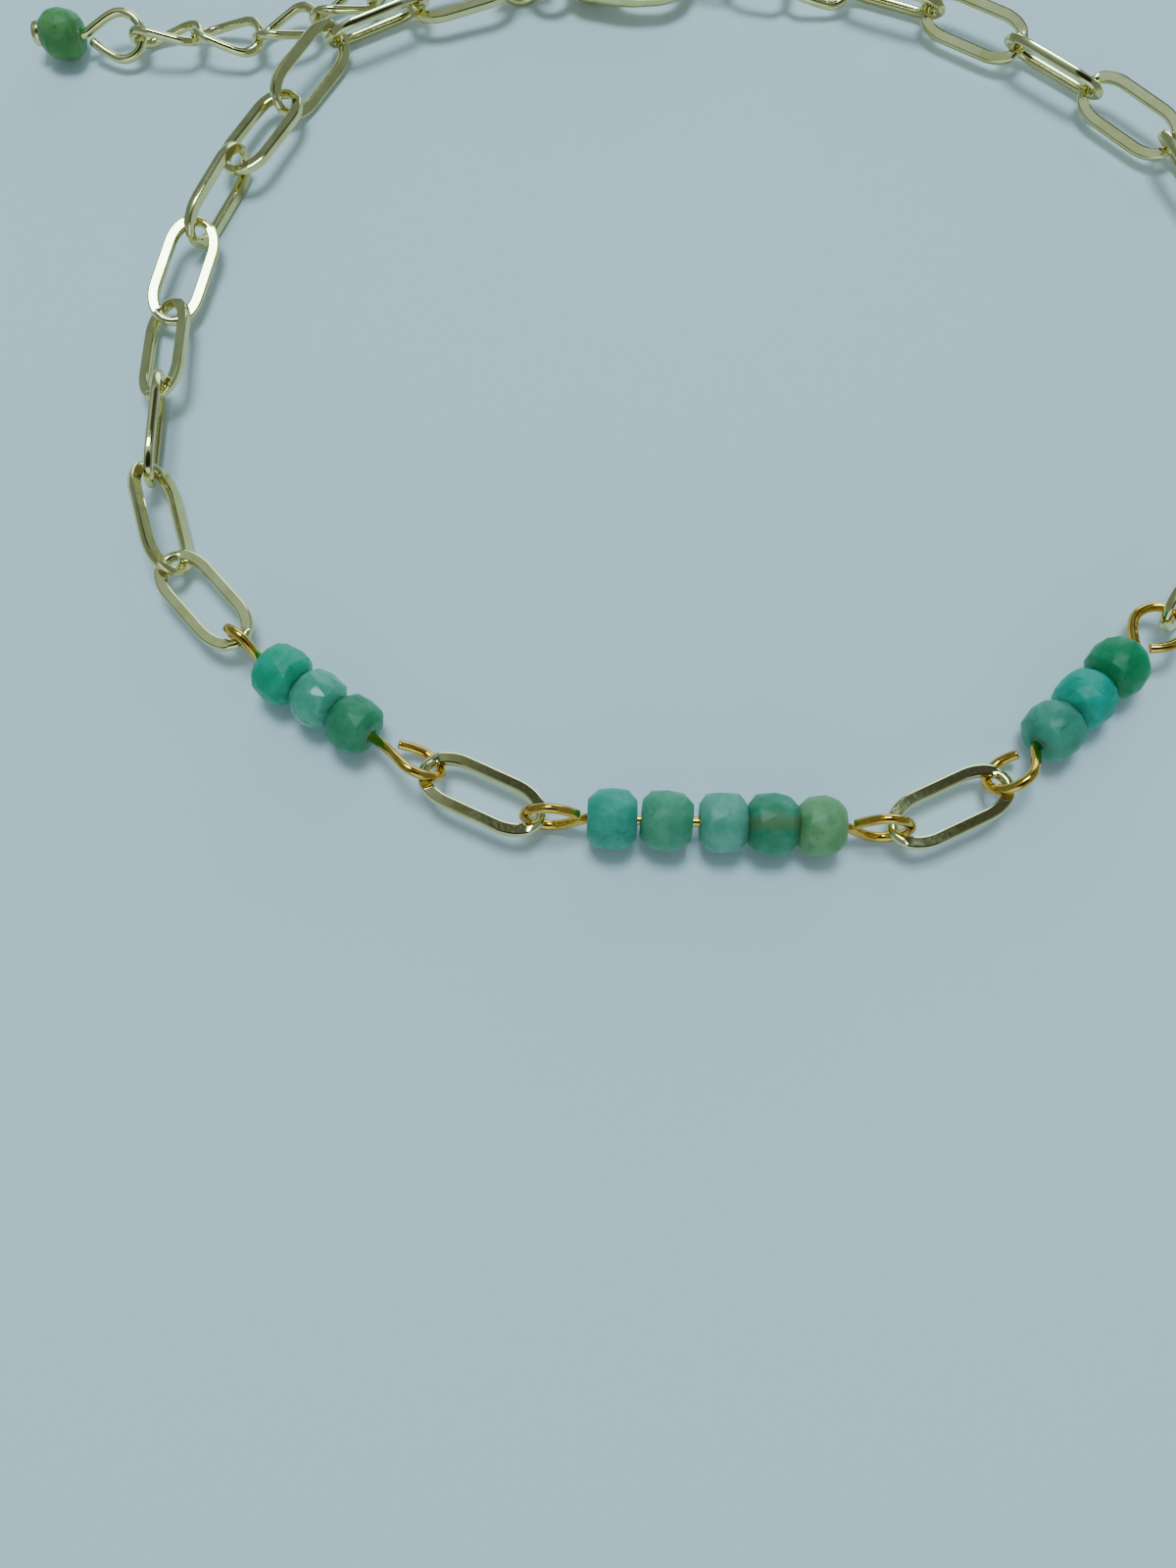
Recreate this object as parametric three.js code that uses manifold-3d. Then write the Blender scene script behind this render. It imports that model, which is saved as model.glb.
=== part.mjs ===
// A fine bracelet: three stations of small faceted stone beads on eyed wire pins, joined by flattened
// paperclip links, with a paperclip chain on both sides, a lobster clasp and an extender chain whose
// tail ends in one more bead. It lies closed on a table. Millimetres, +Z up.

import * as THREE from 'three';
import { mergeVertices } from 'three/addons/utils/BufferGeometryUtils.js';
import { ConvexGeometry } from 'three/addons/geometries/ConvexGeometry.js';
import Module from 'manifold-3d';

const wasm = await Module();
wasm.setup();

// Driving dimensions
const paperclip = { length: 6.6, width: 2.9, rim: 0.62, thick: 0.45, sides: 12 };
const curbLink = { length: 4.3, width: 2.8, rim: 0.45, thick: 0.45, sides: 12, twist: 70 };
const curbBite = 0.14;           // how deep neighbouring curb links run into each other
const jumpRing = { length: 3.6, width: 3.6, rim: 0.6, thick: 0.6, sides: 12 };
const play = 0.14;               // slack between two linked pieces
const wire = 0.5;                // diameter of the pins' wire
const wireSides = 6;
const bead = { diameter: 3.1, length: 2.36, table: 1.5, hole: 0.84, sides: 12 };
const beadGap = 0.05;            // between the tables of two beads that touch
const drop = {
  diameter: 2.7,
  beadLength: 2.2,
  stem: 2.55,
  eye: { length: 3.7, width: 2.9, turn: 150, side: 1, gap: 0.5 },
};
const pinHead = { diameter: 1.3, thick: 0.5 };
const clasp = { length: 10, eyeWidth: 2.9, eyeHole: 1.8, clawWidth: 4.4, ends: 0.8, belly: 2.6 };
const claw = { length: 3.7, width: 2.6, nose: 0.75 };

const gold = { color: 0xc9bf8e, roughness: 0.25, metalness: 1 };
const wireGold = { color: 0xc9a24a, roughness: 0.2, metalness: 1 };
const stoneFinish = { roughness: 0.2, metalness: 0 };

const degrees = THREE.MathUtils.degToRad;
const bracelet = new THREE.Group();

// ---- Solids ----

// A closed three.js geometry as a manifold solid, and back.
function toSolid(geometry) {
  const bare = geometry.clone();
  bare.deleteAttribute('normal');
  bare.deleteAttribute('uv');
  const merged = mergeVertices(bare, 1e-4);
  return new wasm.Manifold(new wasm.Mesh({
    numProp: 3,
    vertProperties: new Float32Array(merged.attributes.position.array),
    triVerts: new Uint32Array(merged.index.array),
  }));
}

function toGeometry(solid) {
  const mesh = solid.getMesh();
  const geometry = new THREE.BufferGeometry();
  geometry.setAttribute('position', new THREE.BufferAttribute(new Float32Array(mesh.vertProperties), 3));
  geometry.setIndex(new THREE.BufferAttribute(new Uint32Array(mesh.triVerts), 1));
  return geometry;
}

// A regular polygon with a flat side up, stretched to the given width and height.
function section(sides, width, height) {
  const corners = [];
  for (let i = 0; i < sides; i += 1) {
    const angle = (2 * Math.PI * i) / sides;
    corners.push(new THREE.Vector2((width / 2) * Math.cos(angle), (height / 2) * Math.sin(angle)));
  }
  return corners;
}

// An oval link lying in the XY plane with its length along X: a ring turned on a lathe from the
// wire's section, then drawn apart into two round ends and two straight rails.
function linkGeometry(size) {
  const outer = size.width / 2;
  const flatHeight = size.thick / Math.sin(Math.PI / 3);
  const profile = section(6, size.rim, flatHeight).map(
    (corner) => new THREE.Vector2(outer - size.rim / 2 + corner.x, corner.y),
  );
  profile.push(profile[0].clone());
  const halfStep = Math.PI / size.sides;
  const ring = new THREE.LatheGeometry(profile, size.sides, halfStep);
  ring.rotateX(Math.PI / 2);
  const stretch = (size.length - size.width) / 2;
  const place = ring.attributes.position;
  for (let i = 0; i < place.count; i += 1) {
    const x = place.getX(i);
    place.setX(i, x + Math.sign(x) * stretch);
  }
  return ring;
}

// Turns each cross slice of a piece about X, by `angle` degrees from one end to the other.
function twistAlong(geometry, length, angle) {
  const place = geometry.attributes.position;
  for (let i = 0; i < place.count; i += 1) {
    const turn = degrees((angle * place.getX(i)) / length);
    const [y, z] = [place.getY(i), place.getZ(i)];
    place.setY(i, y * Math.cos(turn) - z * Math.sin(turn));
    place.setZ(i, y * Math.sin(turn) + z * Math.cos(turn));
  }
  return geometry;
}

// Points of an eye loop from its neck at the origin, out along +X and back to its cut end.
function eyePoints({ length, width, turn, side, gap }) {
  const radius = (width - wire) / 2;
  const centre = length - wire / 2 - radius;
  const lean = Math.asin(radius / centre);
  const points = [];
  const around = 9;
  for (let i = 0; i <= around; i += 1) {
    const angle = (Math.PI / 2 + lean) * (1 - (2 * i) / around);
    points.push([centre + radius * Math.cos(angle), radius * Math.sin(angle)]);
  }
  const last = points[points.length - 1];
  const keep = gap / last[0];
  points.push([last[0] * keep, last[1] * keep]);
  const first = points[0];
  points.unshift([first[0] * 0.5, first[1] * 0.5]);
  return points.map(([x, y]) => new THREE.Vector3(
    x,
    side * y * Math.cos(degrees(turn)),
    side * y * Math.sin(degrees(turn)),
  ));
}

// Round wire swept along a path of points.
function wireGeometry(points, steps) {
  const path = new THREE.CatmullRomCurve3(points, false, 'centripetal');
  path.arcLengthDivisions = 600;
  const shape = new THREE.Shape(section(wireSides, wire, wire));
  const sweep = { steps, curveSegments: 1, bevelEnabled: false, extrudePath: path };
  return new THREE.ExtrudeGeometry(shape, sweep);
}

// A pin along X with an eye at each end of its straight. The eyes are bent back to the chain's line,
// `aside` from the pin's own.
function pinGeometry({ straight, eyes: [startEye, endEye], aside }) {
  const half = straight / 2;
  const place = (direction) => (point) => {
    const bend = THREE.MathUtils.smoothstep(point.x, 0, 1.5) * aside;
    return new THREE.Vector3(direction * (point.x + half), point.y - bend, point.z);
  };
  const start = eyePoints(startEye).map(place(-1)).reverse();
  const end = eyePoints(endEye).map(place(1));
  const middle = [-half, -half + 0.5, 0, half - 0.5, half].map((x) => new THREE.Vector3(x, 0, 0));
  return wireGeometry([...start, ...middle, ...end], 38);
}

// The drop's head pin: an eye at its start, a straight stem and a flat round head at its end.
function headPinGeometry(loop, stem) {
  const start = eyePoints(loop).map((point) => new THREE.Vector3(-point.x, point.y, point.z)).reverse();
  const stemPoints = [0, 0.5, stem].map((x) => new THREE.Vector3(x, 0, 0));
  const head = new THREE.CylinderGeometry(pinHead.diameter / 2, pinHead.diameter / 2, pinHead.thick, 12);
  head.rotateZ(Math.PI / 2);
  head.translate(stem, 0, 0);
  return toGeometry(toSolid(wireGeometry([...start, ...stemPoints], 20)).add(toSolid(head)));
}

// A faceted rondelle bead along X: rows of corners turned half a step against each other, drilled through.
function beadGeometry(diameter, length) {
  const rows = [
    { at: 0.5, radius: bead.table / 2, turn: 0 },
    { at: 0.34, radius: 0.405 * diameter, turn: 0.5 },
    { at: 0.12, radius: 0.5 * diameter, turn: 0 },
    { at: -0.12, radius: 0.5 * diameter, turn: 0.5 },
    { at: -0.34, radius: 0.405 * diameter, turn: 0 },
    { at: -0.5, radius: bead.table / 2, turn: 0.5 },
  ];
  const corners = [];
  for (const row of rows) {
    for (let i = 0; i < bead.sides; i += 1) {
      const angle = (2 * Math.PI * (i + row.turn)) / bead.sides;
      corners.push(new THREE.Vector3(
        row.at * length, row.radius * Math.cos(angle), row.radius * Math.sin(angle),
      ));
    }
  }
  const drill = new THREE.CylinderGeometry(bead.hole / 2, bead.hole / 2, 2 * length, 10);
  drill.rotateZ(Math.PI / 2);
  return toGeometry(toSolid(new ConvexGeometry(corners)).subtract(toSolid(drill)));
}

// A plain closed lobster clasp lying flat along X: its eye at -X, its claw at +X and, between them,
// a thicker belly that it rests on.
function claspGeometry() {
  const half = clasp.length / 2;
  const eyeRadius = clasp.eyeWidth / 2;
  const clawRadius = clasp.clawWidth / 2;
  const eyeCentre = eyeRadius - half;
  const clawCentre = half - clawRadius;
  const lean = Math.asin((clawRadius - eyeRadius) / (clawCentre - eyeCentre));
  const openingCentre = half - claw.nose - claw.length / 2;

  const outline = new THREE.Shape();
  outline.absarc(eyeCentre, 0, eyeRadius, Math.PI / 2 + lean, (3 * Math.PI) / 2 - lean, false);
  outline.absarc(clawCentre, 0, clawRadius, -Math.PI / 2 - lean, Math.PI / 2 + lean, false);
  outline.closePath();
  const eyeHole = new THREE.Path();
  eyeHole.absarc(eyeCentre, 0, clasp.eyeHole / 2, 0, 2 * Math.PI, true);
  const opening = new THREE.Path();
  opening.absellipse(openingCentre, 0, claw.length / 2, claw.width / 2, 0, 2 * Math.PI, true);
  outline.holes.push(eyeHole, opening);
  const pressing = { depth: clasp.ends, curveSegments: 8, bevelEnabled: false };
  const plate = new THREE.ExtrudeGeometry(outline, pressing);
  plate.translate(0, 0, -clasp.ends / 2);

  const bellyFrom = eyeCentre + clasp.eyeHole / 2 + 0.35;
  const bellyTo = openingCentre - claw.length / 2 - 0.1;
  const belly = new THREE.CylinderGeometry(clasp.belly / 2, clasp.belly / 2, 2, 12);
  belly.scale((bellyTo - bellyFrom) / clasp.belly, clasp.belly / 2, 1.1);
  belly.rotateX(Math.PI / 2);
  belly.translate((bellyFrom + bellyTo) / 2, 0, 0);
  return toGeometry(toSolid(plate).add(toSolid(belly)));
}

// ---- Layout ----

// Adds one mesh whose +X runs along `heading` and climbs by `pitch`, turned by `roll` about itself.
function addPiece(name, geometry, finish, at, heading, roll = 0, pitch = 0) {
  const mesh = new THREE.Mesh(geometry, new THREE.MeshStandardMaterial(finish));
  mesh.name = name;
  mesh.position.copy(at);
  mesh.rotation.set(degrees(roll), -degrees(pitch), degrees(heading), 'ZYX');
  bracelet.add(mesh);
  return mesh;
}

const shapeOf = {
  link: () => linkGeometry(paperclip),
  ring: () => linkGeometry(jumpRing),
  clasp: claspGeometry,
};

const forward = (heading) => new THREE.Vector3(Math.cos(degrees(heading)), Math.sin(degrees(heading)), 0);

// Inner length of a linked piece: from the inside of one end to the inside of the other.
const reachOf = {
  link: paperclip.length - 2 * paperclip.rim,
  curb: curbLink.length - 2 * curbLink.rim,
  ring: jumpRing.length - 2 * jumpRing.rim,
  clasp: clasp.length - (clasp.eyeWidth - clasp.eyeHole) / 2 - claw.nose,
};

// Follows a list of pieces from `start`. Each begins inside the end of the one before it, runs along
// its heading and ends at its own height above the table.
function followChain(start, rows, loose) {
  const joint = start.clone();
  return rows.map((row) => {
    const length = (row.reach ?? reachOf[row.kind]) - loose - (row.slack ?? 0);
    const climb = row.height - joint.z;
    const end = joint.clone().addScaledVector(forward(row.heading), Math.sqrt(length ** 2 - climb ** 2));
    end.z = row.height;
    const at = joint.clone().lerp(end, 0.5);
    at.z -= row.hang ?? 0;
    joint.copy(end);
    return { ...row, at, end, pitch: THREE.MathUtils.radToDeg(Math.asin(climb / length)) };
  });
}

const beadAxis = bead.diameter / 2;

// Each station: the straight of its pin, the two eyes, how far its beads have slid along the pin and
// sit beside the line of the chain, and its beads from the start of the pin to its end.
const stations = {
  centre: {
    straight: 12.1,
    eyes: [
      { length: 3.35, width: 2.9, turn: 84, side: -1, gap: 0.55 },
      { length: 3.35, width: 2.9, turn: 82, side: -1, gap: 0.45 },
    ],
    slide: -0.05,
    aside: 0,
    beads: [
      { name: 'centre_bead_1', diameter: 3.05, length: 2.34, space: 0, tilt: 0, spin: 4, color: 0x3b9a8c },
      { name: 'centre_bead_2', diameter: 3.0, length: 2.42, space: 0.2, tilt: -4, spin: 17, color: 0x45906c },
      { name: 'centre_bead_3', diameter: 3.0, length: 2.22, space: 0.36, tilt: 2, spin: 9, color: 0x5fa595 },
      { name: 'centre_bead_4', diameter: 3.1, length: 2.3, space: 0.08, tilt: 0, spin: 22, color: 0x24805f },
      { name: 'centre_bead_5', diameter: 3.0, length: 2.2, space: beadGap, tilt: 0, spin: 12, color: 0x5f9668 },
    ],
  },
  left: {
    straight: 6.9,
    eyes: [
      { length: 3.85, width: 2.9, turn: 55, side: 1, gap: 0.95 },
      { length: 2.7, width: 2.4, turn: 88, side: 1, gap: 0.4 },
    ],
    slide: 0.08,
    aside: 0.3,
    beads: [
      { name: 'left_bead_3', diameter: 2.95, length: 2.16, space: 0, tilt: 0, spin: 6, color: 0x3a8663 },
      { name: 'left_bead_2', diameter: 2.95, length: 2.16, space: beadGap, tilt: 0, spin: 19, color: 0x4b9380 },
      { name: 'left_bead_1', diameter: 3.1, length: 2.2, space: beadGap, tilt: 0, spin: 2, color: 0x259076 },
    ],
  },
  right: {
    straight: 7.3,
    eyes: [
      { length: 3.3, width: 2.9, turn: 127, side: 1, gap: 0.7 },
      { length: 3.25, width: 2.9, turn: -15, side: 1, gap: 0.5 },
    ],
    slide: -0.05,
    aside: 0,
    beads: [
      { name: 'right_bead_1', diameter: 3.0, length: 2.32, space: 0, tilt: 0, spin: 8, color: 0x43877a },
      { name: 'right_bead_2', diameter: 3.0, length: 2.3, space: beadGap, tilt: 0, spin: 24, color: 0x2b9480 },
      { name: 'right_bead_3', diameter: 3.1, length: 2.34, space: beadGap, tilt: 0, spin: 14, color: 0x1b7a50 },
    ],
  },
};

// Inner length of a station's pin, from the inside of one eye to the inside of the other.
function pinReach(station) {
  return station.straight + station.eyes[0].length + station.eyes[1].length - 2 * wire;
}

// Adds a station: its pin, whose straight lies between eyes of unequal length, and its beads.
function addStation(name, station, middle, heading) {
  const [startEye, endEye] = station.eyes;
  const at = middle.clone().addScaledVector(forward(heading), (startEye.length - endEye.length) / 2);
  at.addScaledVector(forward(heading + 90), station.aside);
  addPiece(`${name}_pin`, pinGeometry(station), wireGold, at, heading);
  const full = station.beads.reduce((sum, row) => sum + row.length + row.space, 0);
  let along = -full / 2 + station.slide;
  for (const row of station.beads) {
    along += row.space + row.length / 2;
    const centre = at.clone().addScaledVector(forward(heading), along);
    addPiece(row.name, beadGeometry(row.diameter, row.length), { ...stoneFinish, color: row.color },
      centre, heading + row.tilt, row.spin);
    along += row.length / 2;
  }
}

// The centre station, and the two sides that leave it. Headings are compass turns from +X in degrees,
// and heights are those of the joint at the far end of each piece.
const centreHeading = -2;
const centreMiddle = new THREE.Vector3(6.1, -2.3, beadAxis);
const centreHalf = forward(centreHeading).multiplyScalar((pinReach(stations.centre) - play) / 2);

const leftSide = followChain(centreMiddle.clone().sub(centreHalf), [
  { name: 'spacer_link_left', kind: 'link', heading: 155, roll: 10, height: 1.55, hang: 0.1, slack: 0.04 },
  { name: 'left', kind: 'station', heading: 145, height: 1.55, reach: pinReach(stations.left) },
  { name: 'left_link_01', kind: 'link', heading: 132, roll: 2, height: 1.4, hang: 0.2 },
  { name: 'left_link_02', kind: 'link', heading: 107, roll: 52, height: 1.5 },
  { name: 'left_link_03', kind: 'link', heading: 90, roll: 104, height: 1.5 },
  { name: 'left_link_04', kind: 'link', heading: 91, roll: -25, height: 1.0, slack: 0.5 },
  { name: 'left_link_05', kind: 'link', heading: 76, roll: 12, height: 1.45 },
  { name: 'left_link_06', kind: 'link', heading: 67, roll: 82, height: 1.5, slack: 0.45 },
  { name: 'left_link_07', kind: 'link', heading: 62, roll: -8, height: 1.3, slack: 0.4 },
  { name: 'left_link_08', kind: 'link', heading: 59, roll: 55, height: 1.4 },
  { name: 'left_link_09', kind: 'link', heading: 27, roll: -60, height: 1.45 },
  { name: 'left_link_10', kind: 'link', heading: 18, roll: 2, height: 1.69, hang: 0.13 },
  { name: 'jump_ring', kind: 'ring', heading: 14, roll: 82, height: 1.82 },
  { name: 'clasp', kind: 'clasp', heading: 3, roll: 0, height: 1.82, hang: 0.52, slack: 0.42 },
], play);

const rightSide = followChain(centreMiddle.clone().add(centreHalf), [
  { name: 'spacer_link_right', kind: 'link', heading: 25, roll: -8, height: 1.55, hang: 0.1, slack: 0.06 },
  { name: 'right', kind: 'station', heading: 43, height: 1.55, reach: pinReach(stations.right) },
  { name: 'right_link_01', kind: 'link', heading: 50, roll: 64, height: 1.45 },
  { name: 'right_link_02', kind: 'link', heading: 62, roll: -18, height: 1.45, hang: 0.1 },
  { name: 'right_link_03', kind: 'link', heading: 76, roll: 72, height: 1.45 },
  { name: 'right_link_04', kind: 'link', heading: 90, roll: 10, height: 1.3 },
  { name: 'right_link_05', kind: 'link', heading: 104, roll: -50, height: 1.3 },
  { name: 'right_link_06', kind: 'link', heading: 115, roll: 52, height: 1.35 },
  { name: 'right_link_07', kind: 'link', heading: 137, roll: -31, height: 1.4 },
  { name: 'right_link_08', kind: 'link', heading: 142, roll: 56, height: 1.45 },
  { name: 'right_link_09', kind: 'link', heading: 150, roll: -30, height: 1.4 },
  { name: 'right_link_10', kind: 'link', heading: 160, roll: 60, height: 1.4, slack: 0.15 },
], play);

for (const row of [...leftSide, ...rightSide]) {
  if (row.kind === 'station') {
    addStation(row.name, stations[row.name], row.at, row.heading);
  } else {
    addPiece(row.name, shapeOf[row.kind](), gold, row.at, row.heading, row.roll, row.pitch);
  }
}
addStation('centre', stations.centre, centreMiddle, centreHeading);

// The extender: from the last link of the right side to the claw, and on as a tail to the drop.
const rightEnd = rightSide[rightSide.length - 1].end;
const extender = followChain(rightEnd, [
  { kind: 'curb', heading: 170, roll: -20, height: 1.3 },
  { kind: 'curb', heading: 172, roll: 24, height: 1.24 },
  { kind: 'curb', heading: 181, roll: 90, height: 1.88 },
  { kind: 'curb', heading: 114, roll: 0, height: 2.6 },
  { kind: 'curb', heading: 174, roll: 30, height: 1.9 },
  { kind: 'curb', heading: 187, roll: 14, height: 1.3 },
  { kind: 'curb', heading: 195, roll: 16, height: 1.2 },
  { kind: 'curb', heading: 202, roll: 40, height: 1.28 },
  { kind: 'curb', heading: 226, roll: 50, height: 1.28 },
  { kind: 'curb', heading: 205, roll: 30, height: 1.2 },
  { kind: 'curb', heading: 205, roll: 20, height: 1.2 },
  { kind: 'curb', heading: 174, roll: 16, height: 1.2 },
  { kind: 'curb', heading: 187, roll: 40, height: 1.25 },
], -curbBite);
const extenderLinks = extender.map((row) => {
  const curb = new THREE.Mesh(twistAlong(linkGeometry(curbLink), curbLink.length, curbLink.twist));
  curb.position.copy(row.at);
  curb.rotation.set(degrees(row.roll), -degrees(row.pitch), degrees(row.heading), 'ZYX');
  curb.updateMatrix();
  return toSolid(curb.geometry.applyMatrix4(curb.matrix));
});
addPiece('extender_chain', toGeometry(extenderLinks.reduce((chain, curb) => chain.add(curb))), gold,
  new THREE.Vector3(), 0);

// The drop on the tail's last link: an eye, one bead and the pin's head.
const dropHeading = 178;
const dropNeck = extender[extender.length - 1].end.clone();
dropNeck.addScaledVector(forward(dropHeading), drop.eye.length - wire - play);
dropNeck.z = drop.diameter / 2;
addPiece('drop_pin', headPinGeometry(drop.eye, drop.stem), wireGold, dropNeck, dropHeading);
addPiece('drop_bead', beadGeometry(drop.diameter, drop.beadLength), { ...stoneFinish, color: 0x3a8050 },
  dropNeck.clone().addScaledVector(forward(dropHeading), drop.beadLength / 2 + 0.08), dropHeading, 10);

const box = new THREE.Box3().setFromObject(bracelet, true);
bracelet.position.set(-(box.min.x + box.max.x) / 2, -(box.min.y + box.max.y) / 2, -box.min.z);

export default bracelet;
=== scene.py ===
from math import asin, atan2, cos, degrees, hypot, pi, radians, sin, sqrt
from random import Random

import bmesh
import bpy
import numpy
from mathutils import Matrix, Vector


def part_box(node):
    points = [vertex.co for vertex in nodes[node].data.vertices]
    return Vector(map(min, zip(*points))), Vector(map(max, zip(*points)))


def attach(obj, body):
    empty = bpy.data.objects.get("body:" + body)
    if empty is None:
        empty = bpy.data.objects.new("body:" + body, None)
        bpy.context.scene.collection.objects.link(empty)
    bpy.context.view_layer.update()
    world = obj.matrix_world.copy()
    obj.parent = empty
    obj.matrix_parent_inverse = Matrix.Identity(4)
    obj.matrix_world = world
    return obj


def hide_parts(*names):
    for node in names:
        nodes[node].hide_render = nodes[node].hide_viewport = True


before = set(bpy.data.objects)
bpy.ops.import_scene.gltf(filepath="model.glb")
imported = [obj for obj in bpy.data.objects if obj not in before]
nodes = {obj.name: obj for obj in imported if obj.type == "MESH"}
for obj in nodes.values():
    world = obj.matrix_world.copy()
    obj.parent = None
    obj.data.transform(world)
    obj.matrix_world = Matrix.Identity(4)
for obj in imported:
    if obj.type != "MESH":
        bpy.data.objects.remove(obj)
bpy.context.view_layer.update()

scene = bpy.context.scene
mm = 0.001
print("bracelet loaded,", len(nodes), "nodes")


def linearColour(hexCode):
    channels = [int(hexCode[i:i + 2], 16) / 255 for i in (1, 3, 5)]
    return [c / 12.92 if c <= 0.04045 else ((c + 0.055) / 1.055) ** 2.4 for c in channels] + [1.0]


def addNode(tree, kind, inputs=None, **settings):  # inputs are plain values, or sockets to link from
    node = tree.nodes.new("ShaderNode" + kind)
    for name, value in settings.items():
        setattr(node, name, value)
    for name, value in (inputs or {}).items():
        if isinstance(value, bpy.types.NodeSocket):
            tree.links.new(value, node.inputs[name])
        else:
            node.inputs[name].default_value = value
    return node


def newMaterial(name):
    material = bpy.data.materials.new(name)
    material.use_nodes = True
    material.node_tree.nodes.clear()
    return material, material.node_tree


def patternScale(size):  # noise cells per metre from the size of one in millimetres
    return 1 / (size * mm)


# The chain is brass, tumbled and flash plated with pale gold, and the stations' pins are gold-filled wire,
# drawn and bent by hand. Both are mirrors with a faint ripple, small dull clouds where the gold is thinner,
# and hairlines from wear, drawn broader than real ones so that they show. Sizes are in millimetres.
goldFinishes = {
    "paleGoldPlate": {"colour": "#E4D89A", "thin": "#D8C984", "rough": (0.05, 0.085), "clouds": 1.4,
                      "ripple": 0.5, "rippleDepth": 0.0012, "hairline": 0.12},
    "warmGoldWire": {"colour": "#E6B854", "thin": "#D49E3E", "rough": (0.05, 0.11), "clouds": 0.7,
                     "ripple": 0.6, "rippleDepth": 0.001, "hairline": 0.07},
}
goldPattern = {"cloudEdge": (0.38, 0.6), "wearEdge": (0.35, 0.7), "wearStretch": (1.0, 0.6, 1.0)}


def goldMaterial(name):
    spec = goldFinishes[name]
    material, tree = newMaterial(name)
    place = addNode(tree, "TexCoord").outputs["Object"]
    clouds = addNode(tree, "TexNoise", {
        "Vector": place, "Scale": patternScale(spec["clouds"]), "Detail": 3.0})
    tone = addNode(tree, "ValToRGB", {"Fac": clouds.outputs["Fac"]})
    for stop, edge, shade in zip(tone.color_ramp.elements, goldPattern["cloudEdge"], ("thin", "colour")):
        stop.position = edge
        stop.color = linearColour(spec[shade])
    drawnOut = addNode(tree, "Mapping", {"Vector": place, "Scale": goldPattern["wearStretch"]})
    hairlines = addNode(tree, "TexNoise", {
        "Vector": drawnOut.outputs["Vector"], "Scale": patternScale(spec["hairline"]), "Detail": 2.0})
    rough = addNode(tree, "MapRange", {
        "Value": hairlines.outputs["Fac"],
        "From Min": goldPattern["wearEdge"][0], "From Max": goldPattern["wearEdge"][1],
        "To Min": spec["rough"][0], "To Max": spec["rough"][1]})
    ripple = addNode(tree, "TexNoise", {
        "Vector": place, "Scale": patternScale(spec["ripple"]), "Detail": 2.0})
    bump = addNode(tree, "Bump", {
        "Height": ripple.outputs["Fac"], "Strength": 1.0, "Distance": spec["rippleDepth"] * mm})
    shader = addNode(tree, "BsdfPrincipled", {
        "Base Color": tone.outputs["Color"], "Metallic": 1.0, "Roughness": rough.outputs["Result"],
        "Normal": bump.outputs["Normal"]})
    addNode(tree, "OutputMaterial", {"Surface": shader.outputs["BSDF"]})
    return material


# Amazonite and green aventurine, cut and lightly polished: milky stone that light runs through, with
# cloudy patches, a few darker veins and a soft waxy gloss on each facet. "clear" is how much light goes
# straight through, "spin" turns the bead on its pin in degrees, and "bright" gives it a higher polish. A
# bead
# may also carry a painted shade: a darker band painted into the stone's colour where the pin's wire shows
# through it, given by its colour and its offset in millimetres from the bead's middle.
beadStones = {
    "left_bead_1": {"body": "#1D9A74", "cloud": "#32AA86", "vein": "#148969", "clear": 0.25, "spin": 29},
    "left_bead_2": {"body": "#55A786", "cloud": "#6FBA9B", "vein": "#47997A", "clear": 0.3, "spin": 11,
                    "bright": True},
    "left_bead_3": {"body": "#39875D", "cloud": "#4B956C", "vein": "#2F7951", "clear": 0.3, "spin": 28},
    "centre_bead_1": {"body": "#36967D", "cloud": "#4CA78D", "vein": "#2B876F", "clear": 0.25, "spin": 1},
    "centre_bead_2": {"body": "#4B9871", "cloud": "#63A781", "vein": "#418966", "clear": 0.3, "spin": 0},
    "centre_bead_3": {"body": "#65B08F", "cloud": "#80C4A5", "vein": "#55A184", "clear": 0.45, "spin": 1},
    "centre_bead_4": {"body": "#369268", "cloud": "#4CA27C", "vein": "#2C8462", "clear": 0.45, "spin": 27,
                      "paintedWireShade": "#7C8C5C", "paintedWireShadeAt": -0.2},
    "centre_bead_5": {"body": "#74A266", "cloud": "#8BB377", "vein": "#65955C", "clear": 0.4, "spin": 24},
    "right_bead_1": {"body": "#408D72", "cloud": "#55A083", "vein": "#368167", "clear": 0.3, "spin": 0},
    "right_bead_2": {"body": "#159A7D", "cloud": "#26B093", "vein": "#108E73", "clear": 0.25, "spin": 14},
    "right_bead_3": {"body": "#11834F", "cloud": "#20935E", "vein": "#0B7341", "clear": 0.35, "spin": 29},
    "drop_bead": {"body": "#528042", "cloud": "#658E51", "vein": "#427439", "clear": 0.25, "spin": 27},
}
# Sizes are in millimetres, and the polishing marks are drawn broader than real ones so that they show.
stoneFinish = {"patch": 1.0, "patchEdge": (0.42, 0.6), "patchTwist": 0.6,
               "vein": 0.6, "veinEdge": (0.4, 0.32), "veinTwist": 1.2, "veinDepth": 0.8,
               # the painted shade of the wire seen through a bead: how far it follows the clouds, where it
               # fades and how strong it is
               "paintedWireShadeWander": 1.6, "paintedWireShadeEdge": (0.2, 0.6), "paintedWireShadeDepth": 0.75,
               "rough": (0.34, 0.46), "bright": (0.08, 0.14), "polish": 0.15, "polishDepth": 0.0012,
               "ior": 1.53, "gloss": 0.15, "milk": 0.85, "scatter": 5.0, "scatterTone": (0.45, 1.0, 0.8)}


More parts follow.
